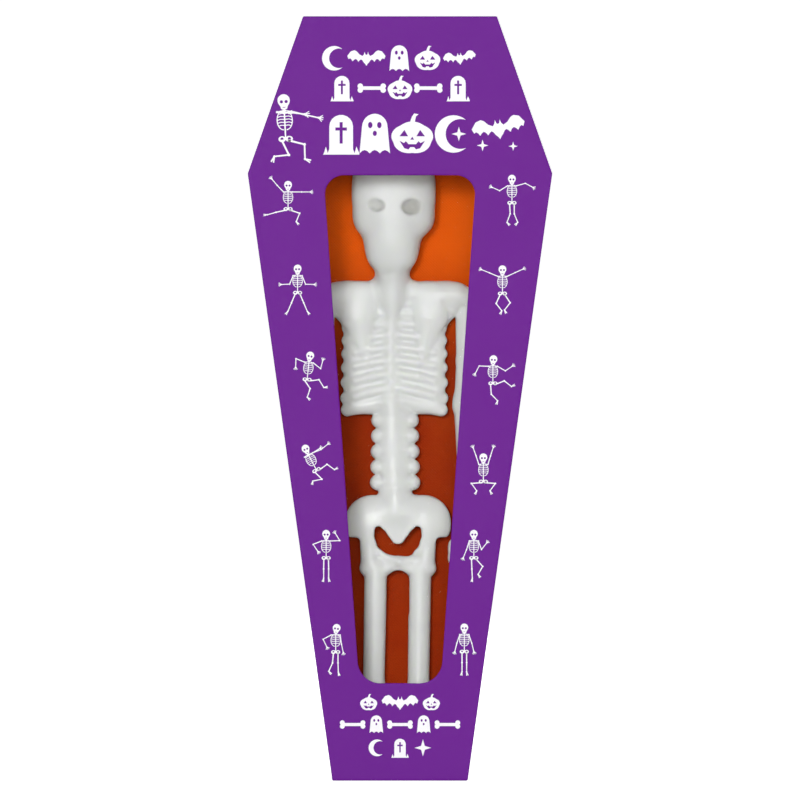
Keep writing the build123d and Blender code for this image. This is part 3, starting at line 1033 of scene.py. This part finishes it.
# The block that holds the figure, its grid, and its soft joins: arms to ribs, and round the flat back.
BLOCK_LOW, BLOCK_HIGH = (-22.6, -1.2, 0.4), (21.9, 17.0, 171.0)
GRID, QUICK_GRID = 0.36, 0.5
ARM_JOIN, BACK_ROUND = 0.35, 0.9
BACK_LEVEL = 0.25


def make_skeleton():
    """Models the figure, meshes it, and cuts its skin into one piece for each bend."""
    step = GRID
    clay, arms = Clay(BLOCK_LOW, BLOCK_HIGH, step), Clay(BLOCK_LOW, BLOCK_HIGH, step)
    model_skull(clay)
    model_chest(clay)
    model_waist(clay)
    for side in (-1, 1):
        model_leg(clay, side)
        model_arm(arms, side)
    model_pelvis(clay)
    owner = arms.field - clay.field
    clay.field = joined(clay.field, arms.field, ARM_JOIN)
    before_back = clay.axes[1].reshape(1, -1, 1).astype(np.float32) - BACK_LEVEL
    clay.field = -joined(-clay.field, before_back, BACK_ROUND)

    places, quads = surface(clay)
    normals = np.stack([sampled(g, places) for g in np.gradient(clay.field)], 1)
    normals /= np.linalg.norm(normals, axis=1)[:, None]
    local = clay.low + places * clay.step
    world = np.stack([FIGURE_X + local[:, 0], FIGURE_BACK - local[:, 1], local[:, 2]], 1)
    normals[:, 1] *= -1
    quads = quads[:, ::-1]

    # Painted shade: the rubber is made greyer at the bottom of the eye sockets, more so in the deeper one.
    painted_socket_shade = np.zeros(len(local))
    on_face = local[:, 1] > 9.0
    for middle, height, wide, tall, deep in SOCKETS:
        reach = np.hypot((local[:, 0] - middle) / wide, (local[:, 2] - height) / tall)
        painted_socket_shade = np.maximum(painted_socket_shade, np.clip(1.25 - reach, 0, 1) * on_face * (deep - 1.0) / 1.7)

    centres = local[quads].mean(1)
    arm_sides = sampled(owner, places[quads].mean(1))
    regions = np.array([skin_region(x, z, arm) for x, z, arm in zip(centres[:, 0], centres[:, 2], arm_sides)])
    for name, (body_a, body_b, axis, start, end, stands_for) in skin_bends().items():
        mine = quads[regions == name]
        used, faces = np.unique(mine, return_inverse=True)
        skin = mesh_object(name, world[used], faces.reshape(-1, 4))
        skin.data.normals_split_custom_set_from_vertices(normals[used].tolist())
        store(skin, "painted_socket_shade", painted_socket_shade[used])
        skin.data.materials.append(RUBBER)
        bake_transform(skin)
        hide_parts(*stands_for)


make_skeleton()


# --- White print ------------------------------------------------------------------------------------
# The print's height over the card, its own thickness, and the step between overlapping shapes.
INK_LIFT, INK_THICK, INK_STEP = 0.03, 0.02, 0.002
INK_LAYERS = 12


class Print:
    """Thin white shapes on the lid's face, each a hair in front of the one before."""

    def __init__(self, face):
        """face is the depth of the card's face."""
        self.face = face
        self.points, self.faces, self.layer = [], [], 0

    def shape(self, loops, x=0.0, z=0.0, size=1.0, turn=0.0):
        """A filled outline, with holes, placed at x, z and turned anticlockwise in radians."""
        c, s = math.cos(turn) * size, math.sin(turn) * size
        placed = [[Vector((x + c * u - s * v, z + s * u + c * v, 0)) for u, v in loop] for loop in loops]
        y = self.face - INK_LIFT - INK_STEP * (self.layer % INK_LAYERS)
        self.layer += 1
        start = len(self.points)
        for loop in placed:
            self.points += [(p.x, y, p.y) for p in loop]
        for face in tessellate_polygon(placed):
            self.faces.append([start + i for i in face])

    def piece(self, name):
        """The shapes as thin closed prisms."""
        made = mesh_object(name, self.points, self.faces, smooth=False)
        bm = bmesh.new()
        bm.from_mesh(made.data)
        for face in bm.faces:
            if face.normal.y > 0:
                face.normal_flip()
        bm.to_mesh(made.data)
        bm.free()
        coat = made.modifiers.new("ink", "SOLIDIFY")
        coat.thickness = INK_THICK * MM
        coat.offset = -1.0
        applied(made)
        return made

    def bone(self, a, b, width, knob=1.5):
        """A rod with a knob at each end."""
        a, b = np.array(a, float), np.array(b, float)
        d = (b - a) / np.linalg.norm(b - a)
        n = np.array([-d[1], d[0]]) * width / 2
        self.shape([[a + n, a - n, b - n * 0.9, b + n * 0.9]])
        for end in (a, b):
            self.shape([circle(end, width / 2 * knob, 10)])


def circle(centre, radius, steps=20, squeeze=1.0):
    """A round outline, stretched in height by squeeze."""
    turn = 2 * math.pi / steps
    return [(centre[0] + radius * math.cos(turn * i), centre[1] + radius * squeeze * math.sin(turn * i))
            for i in range(steps)]


def band(points, width):
    """The outline of a ribbon along a row of points."""
    points = [np.array(p, float) for p in points]
    left, right = [], []
    for i, p in enumerate(points):
        d = points[min(i + 1, len(points) - 1)] - points[max(i - 1, 0)]
        n = np.array([-d[1], d[0]]) / np.linalg.norm(d) * width / 2
        left.append(p + n)
        right.append(p - n)
    return left + right[::-1]


def dancer(ink, x, z, size, lean, head, arms, legs):
    """A little skeleton. Angles are in degrees from straight down, positive to the right.

    x and z place its hips. lean tilts the trunk, head the skull; arms and legs hold an upper and a
    lower angle for each side, left first. A size of 1 stands 13 mm tall.
    """

    def trunk(point):
        w = math.radians(-lean)
        return np.array([x + size * (point[0] * math.cos(w) - point[1] * math.sin(w)),
                         z + size * (point[0] * math.sin(w) + point[1] * math.cos(w))])

    def along(start, angle, length):
        w = math.radians(angle)
        return start + size * length * np.array([math.sin(w), -math.cos(w)])

    # Skull with two eyes and a grin.
    cranium = [(1.04 * math.cos(t), 1.42 + 1.06 * math.sin(t)) for t in np.radians(np.arange(-30, 211, 15))]
    jaw = [(-0.62, 0.45), (-0.5, 0.02), (-0.28, -0.1), (0.28, -0.1), (0.5, 0.02), (0.62, 0.45)]
    eyes = [circle((e, 1.22), 0.27, 12) for e in (-0.4, 0.4)]
    grin = [(-0.34, 0.36), (-0.16, 0.22), (0.16, 0.22), (0.34, 0.36), (0.14, 0.33), (-0.14, 0.33)]
    ink.shape([cranium + jaw, *eyes, grin], *trunk((0, 5.1)), size, math.radians(-lean - head))

    # Spine, an egg-shaped cage of ribs, and hip rings.
    ink.shape([band([trunk((0, 5.1)), trunk((0, 2.5)), trunk((0, 0))], 0.24 * size)])
    for side in (-1, 1):
        sweep = np.linspace(0.12, 3.0, 13)
        rim = [(side * 1.28 * math.sin(t) ** 0.8, 3.2 - 1.62 * math.cos(t)) for t in sweep]
        ink.shape([band([trunk(p) for p in rim], 0.17 * size)])
        for i in range(5):
            level = 4.35 - 0.5 * i
            half = 1.24 * math.sqrt(max(1 - ((level - 3.2) / 1.62) ** 2, 0))
            rib = [(side * 0.1, level), (side * half * 0.6, level + 0.04), (side * half, level - 0.12)]
            ink.shape([band([trunk(p) for p in rib], 0.15 * size)])
        ring = circle((side * 0.6, 0.05), 0.62, 14, 0.82)
        hole = circle((side * 0.62, 0.1), 0.27, 10, 0.9)
        ink.shape([[trunk(p) for p in ring], [trunk(p) for p in hole]])

    # Limbs.
    for side, (upper, lower) in zip((-1, 1), arms):
        shoulder = trunk((side * 1.2, 4.62))
        ink.bone(trunk((side * 0.2, 4.8)), shoulder, 0.2 * size)
        elbow = along(shoulder, upper, 2.45)
        wrist = along(elbow, lower, 2.2)
        ink.bone(shoulder, elbow, 0.27 * size)
        ink.bone(elbow, wrist, 0.24 * size)
        for spread in (-38, -13, 13, 38):
            ink.shape([band([wrist, along(wrist, lower + spread, 0.85)], 0.15 * size)])
    for side, (upper, lower) in zip((-1, 1), legs):
        hip = trunk((side * 0.62, -0.25))
        knee = along(hip, upper, 2.6)
        ankle = along(knee, lower, 2.45)
        ink.bone(hip, knee, 0.32 * size)
        ink.bone(knee, ankle, 0.28 * size)
        toe = 12 * side if abs(lower - upper) < 6 else (64 if lower < upper else -64)
        for spread in (-12, 12):
            ink.shape([band([ankle, along(ankle, lower + toe + spread, 1.05)], 0.24 * size)])


def bat(ink):
    """A bat with its wings spread, 2 mm wide and about 0.8 mm tall."""
    half = [(0.0, 0.18), (0.05, 0.2), (0.09, 0.34), (0.13, 0.2), (0.2, 0.12)]
    half += [(0.36, 0.2), (0.5, 0.36), (0.62, 0.42), (0.82, 0.36), (1.0, 0.12)]
    scallops = ((1.0, 0.72), (0.72, 0.42), (0.42, 0.14))
    for outer, inner in scallops:
        for t in (0.25, 0.5, 0.75, 1.0):
            u = outer + (inner - outer) * t
            dip = -0.16 - 0.1 * (1 - outer)
            half.append((u, dip + 0.16 * math.sin(math.pi * t) if t < 1 else dip))
    half.append((0.06, -0.3))
    loop = half + [(0.0, -0.4)] + [(-u, v) for u, v in half[:0:-1]]
    ink.shape([loop])


def star(ink):
    """A twinkle with pinched sides."""
    loop = []
    for i in range(8):
        r = 1.0 if i % 2 == 0 else 0.32
        w = math.pi * i / 4
        loop.append((r * math.sin(w), r * math.cos(w)))
    ink.shape([loop])


def pumpkin(ink):
    """A lantern face: ribbed round body with a stem, cut eyes, nose and mouth."""
    loop = []
    for i in range(48):
        w = 2 * math.pi * i / 48
        r = 0.94 + 0.07 * abs(math.cos(2.5 * w))
        loop.append((1.12 * r * math.sin(w), 0.86 * r * math.cos(w)))
    eyes = [[(s * 0.22, 0.08), (s * 0.42, 0.42), (s * 0.68, 0.08)] for s in (-1, 1)]
    nose = [(-0.1, -0.1), (0.0, 0.08), (0.1, -0.1)]
    mouth = [(-0.68, -0.16), (-0.44, -0.28), (-0.34, -0.18), (-0.2, -0.34), (0.2, -0.34), (0.34, -0.18),
             (0.44, -0.28), (0.68, -0.16), (0.42, -0.56), (0.2, -0.62), (0.1, -0.5), (-0.1, -0.5),
             (-0.2, -0.62), (-0.42, -0.56)]
    ink.shape([loop, *eyes, nose, mouth])
    ink.shape([[(-0.14, 0.78), (0.12, 0.78), (0.2, 1.14), (0.34, 1.26), (0.1, 1.3), (-0.02, 1.12)]])


def gravestone(ink):
    """A round-topped stone with a cross cut out, on a grassy foot."""
    loop = [(0.62, -1.0), (0.62, 0.4)] + [(0.62 * math.cos(w), 0.4 + 0.6 * math.sin(w))
                                          for w in np.radians(np.arange(20, 180, 20))]
    loop += [(-0.62, 0.4), (-0.62, -1.0)]
    cross = [(-0.08, -0.5), (0.08, -0.5), (0.08, 0.18), (0.3, 0.18), (0.3, 0.34), (0.08, 0.34), (0.08, 0.62),
             (-0.08, 0.62), (-0.08, 0.34), (-0.3, 0.34), (-0.3, 0.18), (-0.08, 0.18)]
    ink.shape([loop, cross])
    grass = [(-0.95, -1.08)]
    for i in range(9):
        u = -0.9 + 0.2 * i
        grass += [(u, -1.0), (u + 0.1, -0.74 if i % 2 else -0.66)]
    ink.shape([grass + [(0.95, -1.0), (0.95, -1.08)]])


def ghost(ink):
    """A sheet ghost with two eyes and a round mouth."""
    loop = [(0.62 * math.cos(w), 0.35 + 0.65 * math.sin(w)) for w in np.radians(np.arange(0, 181, 15))]
    for i in range(13):
        u = -0.74 + 1.48 * i / 12
        loop.append((u, -0.92 + 0.16 * abs(math.sin(math.pi * i / 4))))
    eyes = [circle((s * 0.22, 0.45), 0.11, 10, 1.4) for s in (-1, 1)]
    ink.shape([loop, *eyes, circle((0, 0.05), 0.1, 10, 1.3)])


def long_bone(ink):
    """A long bone lying flat, with double knobs."""
    ink.shape([band([(-1.0, 0.0), (1.0, 0.0)], 0.3)])
    for side in (-1, 1):
        for up in (-1, 1):
            ink.shape([circle((side, up * 0.17), 0.24, 14)])


def moon(ink):
    """A crescent."""
    outer = [(math.cos(w), math.sin(w)) for w in np.radians(np.arange(50, 311, 10))]
    inner = [(0.38 + 0.8 * math.cos(w), 0.8 * math.sin(w)) for w in np.radians(np.arange(290, 69, -10))]
    ink.shape([outer + inner])


# The twelve dancers down the sides, left column first: hip height above the row's own, lean, head
# tilt, arms and legs.
DANCES = [
    (-1.7, 0, 0, ((-136, -140), (90, 90)), ((-78, -74), (72, -22))),
    (0.2, 0, 0, ((-22, -88), (22, 88)), ((-23, -23), (23, 23))),
    (1.3, 6, 6, ((-112, -2), (52, 165)), ((34, -18), (97, 32))),
    (1.4, -28, 4, ((118, 122), (112, 128)), ((45, -78), (126, 55))),
    (2.2, 0, 0, ((-68, 34), (92, -148)), ((-1, 0), (1, 0))),
    (1.4, 0, 10, ((-62, 26), (8, 12)), ((-5, -24), (0, 2))),
    (-0.1, 0, 0, ((-58, -114), (106, 62)), ((3, -20), (0, 22))),
    (0.0, 0, 0, ((-113, -112), (115, 114)), ((-24, 38), (34, -38))),
    (0.3, 0, 6, ((-92, -28), (60, 124)), ((4, 44), (112, 52))),
    (-1.6, 0, 0, ((-162, -160), (163, 162)), ((-86, 36), (86, -36))),
    (2.2, 0, 0, ((-18, -22), (20, 142)), ((2, 3), (42, -30))),
    (1.5, 0, 0, ((-19, -14), (19, 14)), ((0, 0), (0, 0))),
]
ROWS = 6
TOP_ROW, ROW_PITCH = 152.6, 23.8
# How far the hips are below a row's own height, the dancers' size, and the big one at the head end.
HIP_DROP = 1.4
DANCER_SIZE = 0.98
BIG_DANCER = (-29.9, 167.8, 1.56, -3, 0, ((88, 84), (76, 78)), ((26, -84), (76, 2)))


# Where the ornaments stand: middle x, height, size, and turn in radians.
ORNAMENTS = {
    moon: [(-17.2, 189.0, 3.2, 0), (14.0, 169.2, 4.9, 0), (-6.0, 8.6, 2.2, 0)],
    bat: [(-8.8, 189.0, 5.0, 0), (15.6, 189.0, 4.3, 0.12), (25.8, 170.6, 7.0, 0.16), (0.0, 20.4, 4.8, 0)],
    ghost: [(-0.2, 188.9, 3.5, 0), (-6.6, 169.1, 5.4, 0), (-6.2, 14.7, 2.4, 0), (6.2, 14.7, 2.4, 0)],
    pumpkin: [(7.2, 188.4, 3.0, 0), (0.0, 180.7, 2.9, 0), (3.2, 168.2, 4.9, 0),
              (-8.2, 20.1, 2.0, 0), (8.2, 20.1, 2.0, 0)],
    gravestone: [(-15.2, 181.2, 3.2, 0), (15.2, 181.2, 3.2, 0), (-15.4, 169.2, 5.0, 0), (0.0, 8.6, 2.4, 0)],
    long_bone: [(-7.4, 181.2, 3.0, 0), (7.4, 181.2, 3.0, 0),
                (-12.4, 14.7, 2.7, 0), (0.0, 14.7, 2.7, 0), (12.4, 14.7, 2.7, 0)],
    star: [(15.4, 169.2, 1.9, 0), (21.6, 166.2, 1.5, 0), (29.6, 166.0, 1.2, 0), (6.0, 8.6, 2.2, 0)],
}


def ornament_tree():
    """A node tree that prints one ornament at every point, at the point's own size and turn."""
    tree = bpy.data.node_groups.new("ornament print", "GeometryNodeTree")
    inputs = (("Geometry", "Geometry"), ("Ornament", "Object"), ("Ink", "Material"))
    for label, kind in inputs:
        tree.interface.new_socket(label, in_out="INPUT", socket_type=f"NodeSocket{kind}")
    tree.interface.new_socket("Geometry", in_out="OUTPUT", socket_type="NodeSocketGeometry")
    entry, leave = tree.nodes.new("NodeGroupInput"), tree.nodes.new("NodeGroupOutput")
    ornament = node(tree, "GeometryNodeObjectInfo", {"Object": entry.outputs["Ornament"]})
    size = node(tree, "GeometryNodeInputNamedAttribute", {"Name": "size"}).outputs["Attribute"]
    turn = node(tree, "GeometryNodeInputNamedAttribute", {"Name": "turn"}).outputs["Attribute"]
    backwards = maths(tree, "MULTIPLY", turn, -1.0)
    angles = node(tree, "ShaderNodeCombineXYZ", {"Y": backwards}).outputs["Vector"]
    scale = node(tree, "ShaderNodeCombineXYZ", {"X": size, "Y": 1.0, "Z": size}).outputs["Vector"]
    printed = node(tree, "GeometryNodeInstanceOnPoints",
                   {"Points": entry.outputs["Geometry"], "Instance": ornament.outputs["Geometry"],
                    "Rotation": angles, "Scale": scale})
    real = node(tree, "GeometryNodeRealizeInstances", {"Geometry": printed.outputs["Instances"]})
    inked = node(tree, "GeometryNodeSetMaterial",
                 {"Geometry": real.outputs["Geometry"], "Material": entry.outputs["Ink"]})
    tree.links.new(inked.outputs["Geometry"], leave.inputs["Geometry"])
    return tree


def make_ornaments():
    """One piece for each kind of ornament, printed wherever it repeats."""
    tree = ornament_tree()
    sockets = {item.name: item.identifier for item in tree.interface.items_tree if item.in_out == "INPUT"}
    for draw, places in ORNAMENTS.items():
        ink = Print(0.0)
        draw(ink)
        stamp = ink.piece("stamp")
        made = mesh_object(f"{draw.__name__}_print", [(x, FRONT, z) for x, z, *_ in places], [], smooth=False)
        store(made, "size", [size for _, _, size, _ in places])
        store(made, "turn", [turn for *_, turn in places])
        rows = made.modifiers.new("ornament print", "NODES")
        rows.node_group = tree
        rows[sockets["Ornament"]] = stamp
        rows[sockets["Ink"]] = WHITE_INK
        applied(made)
        bpy.data.objects.remove(stamp)
        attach(made, "lid")


def make_dancers():
    """The dancing skeletons down both sides, and the big one at the head end."""
    ink = Print(FRONT)
    for i, (rise, lean, head, arms, legs) in enumerate(DANCES):
        side = -1 if i < ROWS else 1
        z = TOP_ROW - ROW_PITCH * (i % ROWS)
        x = side * (coffin_half(z) + window_half(z)) / 2
        dancer(ink, x, z + rise - HIP_DROP, DANCER_SIZE, lean, head, arms, legs)
    dancer(ink, *BIG_DANCER)
    printed = ink.piece("white_print")
    printed.data.materials.append(WHITE_INK)
    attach(printed, "lid")


make_ornaments()
make_dancers()


# --- Stage, light and camera ------------------------------------------------------------------------
def make_stage():
    """A pale floor whose rim curves up all round into a backdrop."""
    flat, bend, height = 7.0, 1.6, 3.0
    profile = [(0.0, 0.0), (0.4, 0.0), (flat, 0.0)]
    for i in range(1, 13):
        w = math.pi / 2 * i / 12
        profile.append((flat + bend * math.sin(w), bend * (1 - math.cos(w))))
    profile.append((flat + bend, height))
    steps = 64
    points, faces = [(0.0, 0.0, 0.0)], []
    for r, h in profile[1:]:
        for i in range(steps):
            w = 2 * math.pi * i / steps
            points.append((r * math.cos(w), r * math.sin(w), h))
    for i in range(steps):
        faces.append((0, 1 + i, 1 + (i + 1) % steps))
    for r in range(len(profile) - 2):
        for i in range(steps):
            j = (i + 1) % steps
            a, b = 1 + r * steps, 1 + (r + 1) * steps
            faces.append((a + i, b + i, b + j, a + j))
    floor = mesh_object("floor", np.array(points) / MM, faces)
    floor.data.materials.append(stage_material())


def area_light(name, place, aim, size, power):
    """A round soft light at a place, in metres, that faces a point."""
    light = bpy.data.lights.new(name, "AREA")
    light.shape = "DISK"
    light.size = size
    light.energy = power
    made = bpy.data.objects.new(name, light)
    made.location = place
    made.rotation_euler = (Vector(aim) - Vector(place)).to_track_quat("-Z", "Y").to_euler()
    bpy.context.scene.collection.objects.link(made)


def make_light():
    """A big softbox in front, a key from its left, two side lights and one behind."""
    world = bpy.data.worlds.new("studio")
    world.use_nodes = True
    world.node_tree.nodes["Background"].inputs["Color"].default_value = (1, 1, 1, 1)
    world.node_tree.nodes["Background"].inputs["Strength"].default_value = 0.26
    bpy.context.scene.world = world
    middle = (0, 0, COFFIN_HEIGHT * MM / 2)
    area_light("softbox", (-0.12, -2.4, 0.16), middle, 1.0, 38.0)
    area_light("key", (-0.34, -2.3, 0.42), middle, 0.3, 11.0)
    area_light("left side", (-1.9, -0.9, 0.6), middle, 0.9, 12.0)
    area_light("right side", (1.9, -0.6, 0.6), middle, 0.9, 12.0)
    area_light("back", (0.6, 1.7, 0.9), middle, 0.9, 14.0)
    scene = bpy.context.scene
    scene.view_settings.view_transform = "Standard"
    scene.view_settings.look = "None"
    scene.view_settings.exposure = 0.0
    scene.view_settings.gamma = 1.0


def make_camera():
    """Straight on from the front with a long lens, the coffin filling most of the height."""
    data = bpy.data.cameras.new("camera")
    data.lens = 500.0
    data.sensor_width = 36.0
    camera = bpy.data.objects.new("camera", data)
    filled = 0.9556
    distance = COFFIN_HEIGHT * MM / filled * data.lens / data.sensor_width
    camera.location = (0.0, FRONT * MM - distance, 0.498 * COFFIN_HEIGHT * MM)
    camera.rotation_euler = (math.pi / 2, 0, 0)
    data.clip_start, data.clip_end = 0.05, 20.0
    bpy.context.scene.collection.objects.link(camera)
    bpy.context.scene.camera = camera


make_stage()
make_light()
make_camera()
